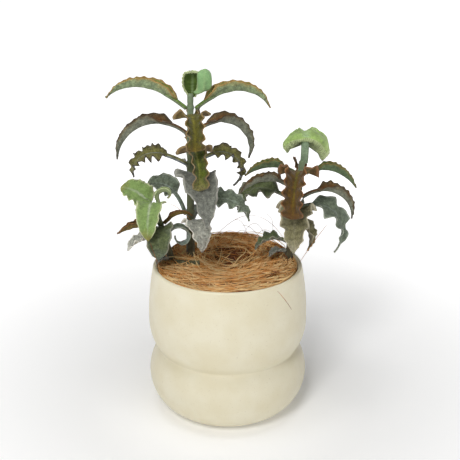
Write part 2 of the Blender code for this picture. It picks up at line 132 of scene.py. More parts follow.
LEAVES = [
    Leaf("tall_leaf_1_left", 180, 39, -44, 0.02, 0.049, 0.0078, 1.6, 58, 25, felt="young",
         teeth=12, tooth=0.0011, ruffle=14, waves=5, flare=50, back=1.5, stalk=0.0029),
    Leaf("tall_leaf_1_right", 0, 38, -62, 0.018, 0.049, 0.0078, 1.6, 58, 25, felt="young", teeth=11,
         tooth=0.0011, ruffle=14, waves=5, flare=50, back=1.3, stalk=0.0029),
    Leaf("tall_leaf_2_front", 279, 48, -104, 0.018, 0.034, 0.0102, 1.1, 38, 20, felt="olive",
         teeth=14, tooth=0.0013, ruffle=20, lobe=0.0065, taper=6, blunt=0.4, stalk=0.0024, waves=6,
         stand=8, sag=35, shift=-0.0013),
    Leaf("tall_leaf_2_back", 89, 15, -80, 0.018, 0.044, 0.0075, 1.6, felt="olive", tooth=0.002),
    Leaf("tall_leaf_3_left", 180, 41, -84, 0.02, 0.053, 0.0074, 1.0, 60, 25, felt="taupe",
         teeth=10, tooth=0.0014, ruffle=18, flare=95, back=1.1, stalk=0.002),
    Leaf("tall_leaf_3_right", 10, 44, -108, 0.018, 0.049, 0.0074, 1.1, 60, 25, felt="taupe",
         teeth=10, tooth=0.0014, ruffle=18, flare=95, back=1.0, stalk=0.002),
    Leaf("tall_leaf_4_front", 284, 58, -104, 0.014, 0.039, 0.009, 0.8, 38, 20, felt="moss",
         teeth=12, tooth=0.0013, ruffle=20, lobe=0.0075, taper=6, blunt=0.45, stalk=0.0022, waves=6,
         stand=8, sag=35, shift=-0.0009),
    Leaf("tall_leaf_4_back", 92, 18, -80, 0.018, 0.046, 0.008, 1.5, felt="olive", tooth=0.002),
    Leaf("tall_leaf_5_left", 180, 28, -110, 0.018, 0.039, 0.0052, 2.0, 50, 25, felt="withered",
         teeth=7, tooth=0.0026, ruffle=62, waves=6, drop=85, stalk=0.0019, wide=1.5),
    Leaf("tall_leaf_5_right", 14, 36, -150, 0.016, 0.047, 0.0052, 1.5, 50, 25, felt="withered",
         teeth=8, tooth=0.0024, ruffle=62, waves=6.5, drop=80, stalk=0.0019, wide=1.45),
    Leaf("tall_leaf_6_front", 284, 44, -92, 0.01, 0.053, 0.015, 0.7, 12, 10, 12, felt="grey",
         teeth=9, tooth=0.0012, ruffle=32, waves=3.5, lobe=0.0025, lumps=0.0014, back=0.9,
         taper=1.4),
    Leaf("tall_leaf_6_back", 92, 18, -75, 0.018, 0.048, 0.009, 1.4, 30),
    Leaf("tall_leaf_7_left", 172, 72, -50, 0.022, 0.026, 0.0105, 1.9, 40, 20, felt="slate", teeth=5,
         tooth=0.002, ruffle=42, waves=3.5, drop=60, stalk=0.0026, lumps=0.0012),
    Leaf("tall_leaf_7_right", 338, 45, -80, 0.018, 0.038, 0.008, 1.3, 40, 20, 20, felt="slate",
         teeth=6, tooth=0.002, ruffle=45, waves=4.5, drop=60, stalk=0.0026, lumps=0.0012,
         wide=1.15),
    Leaf("tall_leaf_8_front", 285, 62, -104, 0.01, 0.034, 0.01, 0.9, 12, 15, 10, felt="pale",
         ruffle=22, lumps=0.0012, lobe=0.003, tooth=0.0012, teeth=8),
    Leaf("tall_leaf_8_back", 80, 18, -60, 0.015, 0.034, 0.009, 1.4, 30),
    Leaf("right_leaf_2_left", 186, 38, -38, 0.012, 0.032, 0.0065, 0.9, 50, 25, -6, felt="shaded_young",
         ruffle=12, stalk=0.0026),
    Leaf("right_leaf_2_right", 0, 40, -56, 0.012, 0.035, 0.0065, 0.7, 50, 25, felt="shaded_young",
         ruffle=12, stalk=0.0026),
    Leaf("right_leaf_3_front", 257, 66, -110, 0.015, 0.05, 0.011, 0.9, 36, 18, felt="rust",
         teeth=15, tooth=0.0012, ruffle=20, lobe=0.0075, taper=7, blunt=0.45, stalk=0.0024, waves=8,
         stand=8, sag=30, shift=0.0013),
    Leaf("right_leaf_3_back", 86, 20, -70, 0.015, 0.04, 0.008, 1.4, felt="rust", tooth=0.002),
    Leaf("right_leaf_4_left", 206, 42, -48, 0.014, 0.038, 0.0066, 1.2, 55, 25, -15, felt="taupe",
         ruffle=22, flare=70, stalk=0.002),
    Leaf("right_leaf_4_right", 350, 38, -95, 0.015, 0.04, 0.007, 1.2, 55, 25, felt="taupe",
         ruffle=28, flare=90, tooth=0.0016, stalk=0.002),
    Leaf("right_leaf_5_left", 160, 28, -95, 0.016, 0.041, 0.0095, 1.8, 45, 25, 20, felt="deep",
         teeth=5, tooth=0.0024, ruffle=40, drop=75, stalk=0.002, lumps=0.0012),
    Leaf("right_leaf_5_right", 0, 30, -128, 0.012, 0.055, 0.009, 0.9, 40, 20, felt="slate",
         teeth=7, tooth=0.002, ruffle=40, drop=70, stalk=0.002, lumps=0.0012, wide=1.1),
    Leaf("right_leaf_6_front", 266, 60, -104, 0.009, 0.047, 0.0135, 0.8, 15, 20, -6, felt="dusk",
         teeth=10, tooth=0.0014, ruffle=36, lobe=0.004, lumps=0.0012, waves=5),
    Leaf("right_leaf_6_back", 84, 18, -65, 0.014, 0.036, 0.009, 1.4, 30),
    Leaf("right_leaf_7_left", 190, 34, -60, 0.008, 0.022, 0.008, 1.0, 15, 20, felt="deep"),
    Leaf("right_leaf_7_right", 340, 20, -114, 0.003, 0.026, 0.008, 0.5, 25, 20, felt="dusk"),
    Leaf("right_leaf_8_left", 200, 24, -50, 0.006, 0.01, 0.0045, 1.0, 15, 20, felt="grey"),
    Leaf("left_leaf_1_front", 265, 50, -102, 0.003, 0.039, 0.0105, 0.7, 10, 18, felt="fresh",
         teeth=16, tooth=0.0005, ruffle=13, waves=5, lobe=0.003, taper=2.2, blunt=0.8),
    Leaf("left_leaf_1_back", 162, 42, -5, 0.004, 0.024, 0.011, 1.5, 10, 12, 0, -35, felt="fresh",
         teeth=10, tooth=0.0009, ruffle=18, taper=2.4, blunt=0.6),
    Leaf("left_leaf_2_right", 0, 100, -150, 0.004, 0.02, 0.0034, 1.8, 40, 25, felt="fresh",
         ruffle=8, tooth=0.0003, blunt=0.5, stalk=0.0022),
    Leaf("left_leaf_2_left", 180, 6, -28, 0.006, 0.027, 0.006, 0.7, 50, 20, felt="rust", ruffle=12,
         tooth=0.0005),
    Leaf("left_leaf_3_right", 6, 45, -36, 0.006, 0.02, 0.0032, 1.5, 60, 20, felt="rust", ruffle=6,
         tooth=0.0002),
    Leaf("left_leaf_3_left", 215, 28, -56, 0.009, 0.023, 0.0075, 1.3, 20, 20, -12, felt="pale",
         blunt=0.6),
    Leaf("left_leaf_4_front", 266, 60, -108, 0.004, 0.036, 0.0115, 0.8, 10, 18, 12, felt="deep",
         ruffle=20, tooth=0.0004, taper=2.4, blunt=0.7, lumps=0.001),
    Leaf("left_leaf_4_right", 5, 40, -285, 0.005, 0.037, 0.006, 1.5, 5, 10, 12, felt="slate",
         ruffle=5, tooth=0.0002),
    Leaf("left_leaf_5_front", 235, 25, -30, 0.003, 0.011, 0.0045, 1.2, 15, 20, felt="grey"),
]
FIRST_SEED = 102
# The top leaf of the right shoot arches over its stalk like a hood; this row only places it.
HOOD = Leaf("right_leaf_1_back", 70, 84, -36, 0.013, 0.042, 0.0205, 0.8, -15, -40, roll=10, ears=0.9)

# A stem leans by lean_x and lean_y on its way up, and scars are the heights of its leaf scars.
Stem = namedtuple("Stem", "node lean_x lean_y length base_radius top_radius scars")
STEM_BURIED = 0.024
SCAR_SWELL = 0.20
SCAR_LENGTH = 0.0014
NOTCH_DEPTH = 0.08
NOTCH_LENGTH = 0.0012
NOTCH_ABOVE = 0.0030
STEMS = [
    Stem("tall_stem", 0.0022, -0.0010, 0.1360, 0.0034, 0.0024,
         (0.030, 0.0405, 0.0693, 0.0808, 0.0888, 0.1058, 0.1130, 0.1252)),
    Stem("right_stem", 0.0090, 0.0, 0.0850, 0.0032, 0.0025,
         (0.018, 0.035, 0.0453, 0.0538, 0.062, 0.070, 0.075)),
    Stem("left_stem", -0.0130, -0.0040, 0.0520, 0.0030, 0.0021, (0.021, 0.0285, 0.035, 0.0505)),
]


# Meshes

def build_mesh(name, points, quads, triangles=None, attributes=None):
    """A smooth mesh from whole arrays of points and corner numbers."""
    if triangles is None:
        triangles = np.zeros((0, 3), int)
    mesh = bpy.data.meshes.new(name)
    corners = np.concatenate((quads.ravel(), triangles.ravel())).astype(np.int32)
    sizes = np.concatenate((np.full(len(quads), 4), np.full(len(triangles), 3)))
    starts = np.concatenate(((0,), np.cumsum(sizes)[:-1])).astype(np.int32)
    mesh.vertices.add(len(points))
    mesh.vertices.foreach_set("co", np.ascontiguousarray(points, np.float32).ravel())
    mesh.loops.add(len(corners))
    mesh.loops.foreach_set("vertex_index", corners)
    mesh.polygons.add(len(sizes))
    mesh.polygons.foreach_set("loop_start", starts)
    mesh.update(calc_edges=True)
    for label, values in (attributes or {}).items():
        layer = mesh.attributes.new(label, "FLOAT", "POINT")
        layer.data.foreach_set("value", np.ascontiguousarray(values, np.float32).ravel())
    mesh.shade_smooth()
    return mesh


def loft(name, rings, attributes=None):
    """Closed rings of points, (rings, around, 3), joined in order, with a fan on each end."""
    count, around, _ = rings.shape
    numbers = np.arange(count * around).reshape(count, around)
    after = np.roll(numbers, -1, axis=1)
    quads = np.stack((numbers[:-1], after[:-1], after[1:], numbers[1:]), -1).reshape(-1, 4)
    ends = np.array((rings[0].mean(0), rings[-1].mean(0)))
    first, last = count * around, count * around + 1
    low = np.stack((after[0], numbers[0], np.full(around, first)), -1)
    high = np.stack((numbers[-1], after[-1], np.full(around, last)), -1)
    points = np.concatenate((rings.reshape(-1, 3), ends))
    values = {}
    for label, grid in (attributes or {}).items():
        values[label] = np.concatenate((grid.ravel(), (grid[0].mean(), grid[-1].mean())))
    return build_mesh(name, points, quads, np.concatenate((low, high)), values)


def add_piece(name, mesh, material, slot, *nodes):
    """Put a finished mesh in the scene for the nodes that it stands for."""
    piece = bpy.data.objects.new(name, mesh)
    bpy.context.scene.collection.objects.link(piece)
    mesh.materials.append(material)
    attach(piece, "root")
    if nodes:
        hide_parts(*nodes)
    return piece


def smoothstep(low, high, x):
    """0 below low, 1 above high, and an even swing between."""
    t = np.clip((x - low) / (high - low), 0, 1)
    return t * t * (3 - 2 * t)


def waver(x, draws, waves=4):
    """A smooth uneven curve between about -1 and 1: a few sines with drawn pitch and phase."""
    pitch = draws.uniform(0.6, 3.5, waves)
    phase = draws.uniform(0, 2 * np.pi, waves)
    angle = 2 * np.pi * np.asarray(x)[..., None] * pitch + phase
    return np.sin(angle).sum(-1) / np.sqrt(2 * waves)


def unit(vectors):
    """Each vector at length one."""
    return vectors / np.maximum(np.linalg.norm(vectors, axis=-1, keepdims=True), 1e-12)


# Pot

def bowl_radius(z):
    """Outer radius of the upper bulge: a flat curve to the rim, a superellipse below."""
    above = np.clip((z - BOWL_HEIGHT) / (POT_HEIGHT - BOWL_HEIGHT), 0, 1)
    below = np.clip((BOWL_HEIGHT - z) / BOWL_DEPTH, 0, 1)
    upper = BOWL_RADIUS - (BOWL_RADIUS - RIM_RADIUS) * above**2
    return upper * (1 - below**BOWL_SQUARENESS) ** (1 / BOWL_SQUARENESS)


def ring_radius(z):
    """Outer radius of the lower bulge: an ellipse turned about the pot's axis."""
    across = np.clip(1 - ((z - RING_HEIGHT) / RING_HALF_HEIGHT) ** 2, 0, 1)
    return RING_RADIUS * (across > 0) + RING_HALF_WIDTH * np.sqrt(across)


def outer_radius(z):
    """The two bulges meet at a crease, where one radius passes the other; it is glazed full."""
    bowl, ring = bowl_radius(z), ring_radius(z)
    return (bowl + ring + np.sqrt((bowl - ring) ** 2 + CREASE_FILL**2)) / 2


def inner_radius(z):
    """The cavity, one wall thickness inside, measured square to the outer surface."""
    step = WALL / 8
    slope = (outer_radius(z + step) - outer_radius(z - step)) / (2 * step)
    return outer_radius(z) - WALL * np.sqrt(1 + np.clip(slope, -1.2, 1.2) ** 2)


def make_pot(material):
    """A profile of radius and height turned about Z in rings, then bored for the drain holes.

    The profile runs from the middle of the foot up the outside, over a round lip and down the
    inside to the middle of the floor.
    """
    lip = WALL / 2
    lip_height = POT_HEIGHT - lip
    foot = float(outer_radius(0.0)) - HEEL
    swing = np.linspace(-np.pi / 2, -np.pi / 9, 8)
    heel = np.stack((foot + HEEL * np.cos(swing), HEEL + HEEL * np.sin(swing)), -1)
    up = np.linspace(HEEL, lip_height, 150)
    outside = np.stack((outer_radius(up), up), -1)
    centre = float(outer_radius(lip_height)) - lip
    over = np.linspace(0, np.pi, 15)
    rounding = np.stack((centre + lip * np.cos(over), lip_height + lip * np.sin(over)), -1)
    down = np.linspace(lip_height, FLOOR + 0.001, 60)
    inside = np.stack((inner_radius(down), down), -1)
    floor = np.array(((inside[-1, 0] * 0.97, FLOOR), (inside[-1, 0] * 0.5, FLOOR), (1e-4, FLOOR)))
    base = np.array(((1e-4, 0.0), (foot * 0.5, 0.0)))
    profile = np.concatenate((base, heel, outside, rounding[1:-1], inside, floor))
    angles = np.linspace(0, 2 * np.pi, 160, endpoint=False)
    ways = np.stack((np.cos(angles), np.sin(angles)), -1)
    rings = np.empty((len(profile), len(angles), 3))
    rings[..., :2] = profile[:, None, :1] * ways
    rings[..., 2] = profile[:, 1:]
    pot = add_piece("ceramic_pot", loft("ceramic_pot", rings), material, "pot_ceramic", "pot")
    bore_drains(pot)


def bore_drains(pot):
    """Cut the round drain holes through the floor, and keep the result as a plain mesh."""
    angles = np.linspace(0, 2 * np.pi, 32, endpoint=False)
    bores = []
    for number in range(DRAIN_COUNT):
        bearing = 2 * np.pi * number / DRAIN_COUNT + np.pi / 2
        rings = np.zeros((2, len(angles), 3))
        rings[..., 0] = DRAIN_CIRCLE * np.cos(bearing) + DRAIN_RADIUS * np.cos(angles)
        rings[..., 1] = DRAIN_CIRCLE * np.sin(bearing) + DRAIN_RADIUS * np.sin(angles)
        rings[:, :, 2] = np.array((-FLOOR, 2 * FLOOR))[:, None]
        bore = bpy.data.objects.new(f"bore_{number}", loft(f"bore_{number}", rings))
        bpy.context.scene.collection.objects.link(bore)
        cut = pot.modifiers.new(bore.name, "BOOLEAN")
        cut.operation = "DIFFERENCE"
        cut.object = bore
        bores.append(bore)
    bpy.context.view_layer.update()
    bored = pot.evaluated_get(bpy.context.evaluated_depsgraph_get())
    bored = bpy.data.meshes.new_from_object(bored)
    pot.modifiers.clear()
    pot.data = bored
    for bore in bores:
        bpy.data.objects.remove(bore)


# Coir

def coir_top(x, y):
    """Height of the nest: heaped towards the back, with a shallow hollow in the middle."""
    back = np.clip((y / COIR_REACH - COIR_HEAP_START) / (1 - COIR_HEAP_START), 0, 1)
    middle = np.exp(-(x**2 + y**2) / (COIR_HOLLOW_SPREAD * COIR_REACH) ** 2)
    return COIR_LEVEL + COIR_HEAP * back**1.5 - COIR_HOLLOW * middle


def make_coir_mat(material):
    """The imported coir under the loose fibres: a disc of rings, lumpy on top and flat below.

    Its height is the nest's, less a step, less a bell round the hollow, plus small slanting waves.
    """
    draws = np.random.default_rng(11)
    angles = np.linspace(0, 2 * np.pi, 144, endpoint=False)
    radii = np.concatenate((np.linspace(0.0005, COIR_REACH, 60), (COIR_REACH, 0.0005)))
    x = radii[:, None] * np.cos(angles)
    y = radii[:, None] * np.sin(angles)
    away = np.hypot(x - SWIRL[0], y - SWIRL[1])
    top = coir_top(x, y) - MAT_STEP - MAT_HOLLOW * np.exp(-((away / MAT_HOLLOW_REACH) ** 2))
    for _ in range(MAT_WAVES):
        pitch = draws.uniform(150, 900, 2) * draws.choice((-1, 1), 2)
        top += MAT_WAVE_HEIGHT * np.sin(pitch[0] * x + pitch[1] * y + draws.uniform(0, 6.3))
    top[-2:] = COIR_LOW.z
    rings = np.stack((x, y, top), -1)[::-1]
    add_piece("coir_mat", loft("coir_mat", rings), material, "coir", "coir_mulch")


def fibres(name, starts, headings, lengths, bends, heights, arches, radii, tones, draws):
    """Many thin fibres in one mesh, as three-sided tubes.

    A fibre leaves its start on its heading and turns evenly by bend with a small wave. Its height
    is that of the nest, plus its own, plus an arch that is nil at both ends. It stays in the pot.
    """
    count = len(lengths)
    t = np.linspace(0, 1, FIBRE_POINTS)
    wave = t * draws.uniform(0.6, 2.2, (count, 1)) + draws.random((count, 1))
    wave = 0.16 * np.sin(2 * np.pi * wave)
    turn = headings[:, None] + bends[:, None] * (t - 0.5) + wave
    step = (lengths / (len(t) - 1))[:, None]
    x = starts[:, :1] + np.cumsum(np.cos(turn) * step, 1)
    y = starts[:, 1:] + np.cumsum(np.sin(turn) * step, 1)
    reach = np.hypot(x, y)
    limit = COIR_REACH - 0.0006
    inside = np.minimum(1, limit / np.maximum(reach, 1e-9))
    x, y = x * inside, y * inside
    ripple = t * draws.uniform(0.8, 2.5, (count, 1)) + draws.random((count, 1))
    ripple = 0.0005 * np.sin(2 * np.pi * ripple)
    z = coir_top(x, y) + heights[:, None] + arches[:, None] * np.sin(np.pi * t) + ripple
    centres = np.stack((x, y, z), -1)
    return tubes(name, centres, radii, tones)


def tubes(name, centres, radii, tones, sides=3):
    """Round bars along paths, (bars, points, 3), thinning at both ends, with closed ends."""
    count, points, _ = centres.shape
    forward = unit(np.gradient(centres, axis=1))
    across = unit(np.cross(forward, (0.13, 0.21, 0.97)))
    above = np.cross(across, forward)
    share = np.linspace(0, 1, points)
    thin = 0.45 + 0.55 * np.sin(np.pi * share) ** 0.5
    turn = np.linspace(0, 2 * np.pi, sides, endpoint=False)
    size = (radii[:, None] * thin)[..., None, None]
    ring = np.cos(turn)[:, None] * across[:, :, None] + np.sin(turn)[:, None] * above[:, :, None]
    vertices = centres[:, :, None] + ring * size
    numbers = np.arange(count * points * sides).reshape(count, points, sides)
    after = np.roll(numbers, -1, axis=2)
    quads = np.stack((numbers[:, :-1], numbers[:, 1:], after[:, 1:], after[:, :-1]), -1).reshape(-1, 4)
    caps = np.concatenate((numbers[:, 0, :3], numbers[:, -1, 2::-1][:, :3]))
    tone = np.broadcast_to(tones[:, None, None], numbers.shape)
    return build_mesh(name, vertices.reshape(-1, 3), quads, caps, {"tone": tone})


# Beds of loose fibre: how many, how high over the mat and how evenly, how pale, and the seed.
# The lower a bed lies, the darker its tone: painted shade of fibre deeper in the nest.
BEDS = (
    ("coir_bed_low", 900, -0.0024, 0.0009, 0.34, 3),
    ("coir_bed_middle", 860, -0.0008, 0.0011, 0.56, 5),
    ("coir_bed_top", 760, 0.0008, 0.0014, 0.80, 8),
)


def make_coir_nest(material):
    """Beds of coir fibre that swirl round a hollow behind the middle of the pot.

    Fibres are spread evenly over the disc. Each heads square to the line from the hollow, give or
    take, and bends round it; near the hollow it lies lower.
    """
    for name, count, low, spread, tone, seed in BEDS:
        draws = np.random.default_rng(seed)
        radius = COIR_REACH * np.sqrt(draws.uniform(0.0, 0.98, count))
        bearing = draws.uniform(0, 2 * np.pi, count)
        middles = np.stack((radius * np.cos(bearing), radius * np.sin(bearing)), -1)
        about = middles - SWIRL
        distance = np.linalg.norm(about, axis=1)
        length = draws.uniform(*FIBRE_LENGTHS, count)
        heading = np.arctan2(about[:, 1], about[:, 0]) + np.pi / 2 + draws.normal(0, 0.60, count)
        bends = length / np.maximum(distance, 0.03) + draws.normal(0, 0.35, count)
        starts = middles - 0.5 * length[:, None] * np.stack((np.cos(heading), np.sin(heading)), -1)
        hollow = np.exp(-((distance / HOLLOW_REACH) ** 2))
        heights = low + draws.normal(0, spread, count) - 0.0022 * hollow
        arches = draws.uniform(-0.0004, 0.0014, count)
        radii = draws.uniform(*FIBRE_RADII, count)
        clumps = 0.18 * np.sin(middles[:, 0] * 210 + 1) * np.sin(middles[:, 1] * 260 + 2)
        tones = np.clip(tone + clumps + draws.normal(0, 0.29, count) + 0.05 * hollow, 0, 1)
        mesh = fibres(name, starts, heading, length, bends, heights, arches, radii, tones, draws)
        add_piece(name, mesh, material, "coir")


# Long hairs that stand clear: one end, the point that it bends towards, the other end, its radius
# and its tone. They run over the pot's lip, from leaf to coir, across the old stem and the nest.
HAIRS = (
    ((0.078, -0.005, 0.157), (0.068, -0.006, 0.144), (0.057, -0.008, 0.126), 0.00026, 0.28),
    ((0.0368, -0.0555, 0.1228), (0.043, -0.0585, 0.117), (0.0475, -0.0585, 0.109), 0.00022, 0.12),
    ((-0.0273, 0.006, 0.13), (-0.027, -0.006, 0.1262), (-0.018, -0.02, 0.1205), 0.00028, 1.0),
    ((-0.057, 0.004, 0.1245), (-0.042, 0.006, 0.1275), (-0.0235, 0.0, 0.124), 0.00035, 0.95),
    ((-0.056, -0.012, 0.1235), (-0.04, -0.013, 0.1255), (-0.02, -0.016, 0.1215), 0.00035, 0.85),
    ((-0.05, 0.01, 0.17), (-0.036, 0.01, 0.169), (-0.018, 0.004, 0.14), 0.00022, 0.23),
    ((-0.06, -0.02, 0.15), (-0.058, -0.024, 0.143), (-0.052, -0.024, 0.128), 0.00024, 0.15),
    ((-0.015, 0.04, 0.125), (0.008, 0.042, 0.154), (0.026, 0.04, 0.148), 0.00022, 0.2),
    ((0.026, 0.04, 0.148), (0.04, 0.038, 0.144), (0.05, 0.034, 0.125), 0.00022, 0.2),
    ((0.002, 0.04, 0.124), (0.012, 0.042, 0.146), (0.02, 0.04, 0.126), 0.00019, 0.15),
    ((0.01, 0.044, 0.124), (0.024, 0.04, 0.16), (0.034, 0.036, 0.124), 0.00019, 0.17),
    ((0.022, 0.044, 0.124), (0.03, 0.03, 0.152), (0.046, 0.03, 0.126), 0.00022, 0.12),
    ((0.03, 0.042, 0.124), (0.02, 0.04, 0.142), (0.012, 0.04, 0.14), 0.00019, 0.15),
    ((0.036, 0.042, 0.124), (0.042, 0.036, 0.15), (0.03, 0.034, 0.153), 0.00019, 0.17),
    ((0.018, 0.038, 0.124), (0.014, 0.036, 0.152), (0.004, 0.04, 0.144), 0.00019, 0.23),
    ((-0.008, 0.044, 0.123), (-0.004, 0.04, 0.14), (0.008, 0.038, 0.134), 0.00024, 0.6),
)


def make_stray_fibres(material):
    """Loose hairs, each a smooth curve that leaves one end for its bend and comes to the other."""
    first, bend, last = (np.array([hair[part] for hair in HAIRS])[:, None] for part in range(3))
    radii, tones = (np.array([hair[part] for hair in HAIRS]) for part in (3, 4))
    t = np.linspace(0, 1, FIBRE_POINTS)[None, :, None]
    centres = first * (1 - t) ** 2 + bend * 2 * t * (1 - t) + last * t**2
    mesh = tubes("coir_strays", centres, radii, tones)
    add_piece("coir_strays", mesh, material, "coir")


# Stems and leaves

def box_centre(low, high):
    """The middle of a box."""
    return (np.array(low) + np.array(high)) / 2


def make_stem(stem, material):
    """A ring carried up a leaning axis, swollen and notched at each leaf scar.

    The radius goes evenly from base to top. Each scar adds a bell and takes a narrower one away
    just above it, and six shallow ribs wind round the stem.
    """
    heights = np.linspace(-STEM_BURIED, stem.length, 170)
    share = heights / stem.length
    low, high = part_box(stem.node)
    axis = np.stack((stem.lean_x * share, stem.lean_y * share, heights), -1)
    axis += box_centre(low, high) - box_centre(axis.min(0), axis.max(0))
    radius = stem.base_radius + (stem.top_radius - stem.base_radius) * np.clip(share, 0, 1)
    around = np.linspace(0, 2 * np.pi, 28, endpoint=False)
    swell = np.ones_like(heights)
    for scar in stem.scars:
        swell += SCAR_SWELL * np.exp(-(((heights - scar) / SCAR_LENGTH) ** 2))
        swell -= NOTCH_DEPTH * np.exp(-(((heights - scar - NOTCH_ABOVE) / NOTCH_LENGTH) ** 2))
    ribs = 1 + 0.03 * np.cos(6 * around[None] + 40 * heights[:, None])
    size = (radius * swell)[:, None] * ribs
    size[0] *= 0.6
    size[-1] *= 0.6
    rings = np.repeat(axis[:, None], len(around), 1)
    rings[..., 0] += size * np.cos(around)
    rings[..., 1] += size * np.sin(around)
    grown = np.repeat(np.clip(share, 0, 1)[:, None], len(around), 1)
    mesh = loft("felted_" + stem.node, rings, {"grown": grown})
    add_piece("felted_" + stem.node, mesh, material, "stem_felt", stem.node)


def make_old_stem(material):
    """A cut length of bare stem: a ring carried along its box, ridged and ringed with scars.

    The radius is the box's, times even bands for the scars, times an uneven groove line around it
    and another along it, and it draws in at both ends.
    """
    low, high = (np.array(corner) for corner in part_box("old_stem"))
    centre = (low + high) / 2
    half = np.array(((high[0] - low[0]) / 2, -0.0015, 0.0))
    radius = (high[2] - low[2]) / 2
    t = np.linspace(-1, 1, 90)
    around = np.linspace(0, 2 * np.pi, 36, endpoint=False)
    draws = np.random.default_rng(31)
    scars = 1 + 0.10 * np.maximum(0, np.cos(2 * np.pi * 3.3 * t)) ** 8
    ends = np.clip((1 - np.abs(t)) / 0.03, 0.55, 1)
    grooves = 1 + 0.05 * waver(around / (2 * np.pi) * 3, draws, 5)[None]
    grooves = grooves + 0.03 * waver(t, draws, 6)[:, None]
    size = radius * (scars * ends)[:, None] * grooves
    rings = centre + half * t[:, None, None] + np.zeros((len(t), len(around), 3))
    rings[..., 1] += size * np.cos(around)
    rings[..., 2] += size * np.sin(around)
    add_piece("bare_old_stem", loft("bare_old_stem", rings), material, "old_bark", "old_stem")


def leaf_frame(leaf, share):
    """The ways forward, to the side and up at a share of a leaf's length."""
    slope = np.radians(leaf.rise + (leaf.droop - leaf.rise) * share**leaf.bend)
    heading = np.radians(leaf.turn + leaf.sway * share)
    level = np.stack((np.cos(heading), np.sin(heading), 0 * share), -1)
    forward = level * np.cos(slope)[..., None] + np.sin(slope)[..., None] * np.array((0, 0, 1))
    side = np.stack((-np.sin(heading), np.cos(heading), 0 * share), -1)
    return forward, side, np.cross(forward, side)


def tooth_wave(x):
    """A row of even pointed teeth, one to each whole number."""
    return 1 - np.abs(2 * (x % 1) - 1)


def running(rate, across):
    """Running sum of a rate over the half width, nil at the midrib."""
    steps = (rate[:, 1:] + rate[:, :-1]) / 2 * (across[1] - across[0])
    return np.concatenate((np.zeros((len(rate), 1)), np.cumsum(steps, 1)), 1)


def leaf_width(leaf, blade, taper, blunt, stalk):
    """Half width along the blade: a rounded shoulder up to the widest line, then a long taper."""
    on_blade = np.clip(blade, 0, 1)
    before = np.clip(on_blade / WIDEST_AT, 0, 1)
    after = np.clip((on_blade - WIDEST_AT) / (1 - WIDEST_AT), 0, 1)
    rising = np.sin(before * np.pi / 2) ** SHOULDER
    falling = (1 - after**taper) ** blunt
    width = leaf.half_width * np.where(on_blade < WIDEST_AT, rising, falling)
    return np.maximum(width, np.where(blade <= 0, stalk, TIP_HALF_WIDTH))


def tooth_line(leaf, blade, draws):
    """How far the margin stands out: pointed teeth of uneven size, larger towards the foot."""
    sizes = draws.uniform(0.45, 1.25, int(leaf.teeth) + 3)
    place = leaf.teeth * np.clip(blade, 0, 1) + draws.random()
    point = tooth_wave(place)
    fade = np.clip(blade / 0.04, 0, 1) * (1.2 - 0.8 * np.clip(blade, 0, 1))
    return leaf.tooth * sizes[place.astype(int)] * point**1.3 * fade


def half_blade(leaf, blade, across, side, plain, draws):
    """One half of the blade as offsets to the side and up from the midrib.

    The half leaves the midrib at fold and turns by curl on its way to the margin, and the offsets
    are the running sums of the cosine and sine of that slope. Waves, teeth, lobes and a turned
    rim are added to the slope and to the reach, more towards the margin.
    """
    easing = np.clip(blade / FOLD_OPENS, 0, 1) * np.clip((1 - blade) / FOLD_CLOSES, 0, 1)
    shape = (1.8, 0.9, PETIOLE_HALF_WIDTH) if plain else (leaf.taper, leaf.blunt, leaf.stalk)
    width = leaf_width(leaf, blade, *shape)[:, None] * (1 if plain else leaf.wide)
    if plain:
        slope = radians(leaf.fold) + radians(leaf.curl) * across
        reach = width + 0 * across
        easing = easing * np.clip(width[:, 0] / (FOLD_ROOM * LEAF_THICKNESS), 0, 1)
    else:
        foot = np.exp(-(((blade - FOOT_AT) / FOOT_SPAN) ** 2))[:, None]
        faces_front = leaf_frame(leaf, np.array(0.5))[1][1] * side < 0
        leaving = np.tanh(across / FOLD_TURN)
        slope = radians(leaf.fold + leaf.stand) * leaving + radians(leaf.curl) * across
        slope = slope * (1 - 0.8 * foot * (leaf.lobe > 0)) - radians(leaf.sag) * foot * across
        if faces_front:
            slope = slope - radians(leaf.drop) * leaving
            slope = slope - radians(leaf.flare) * foot * smoothstep(0.1, 0.6, across)
        swing = np.sin(2 * np.pi * (leaf.waves * blade + draws.random()))
        swing = (swing + 0.6 * waver(blade * leaf.waves / 2, draws))[:, None]
        slope = slope + radians(leaf.ruffle) * swing * across**1.5
        slope = slope + radians(leaf.rim) * smoothstep(0.55, 1, across)
        teeth = tooth_line(leaf, blade, draws)[:, None]
        reach = width + 4 * teeth * across**3 + 2 * leaf.lobe * foot * across
    slope = slope * easing[:, None]
    return side * running(np.cos(slope) * reach, across), running(np.sin(slope) * reach, across)


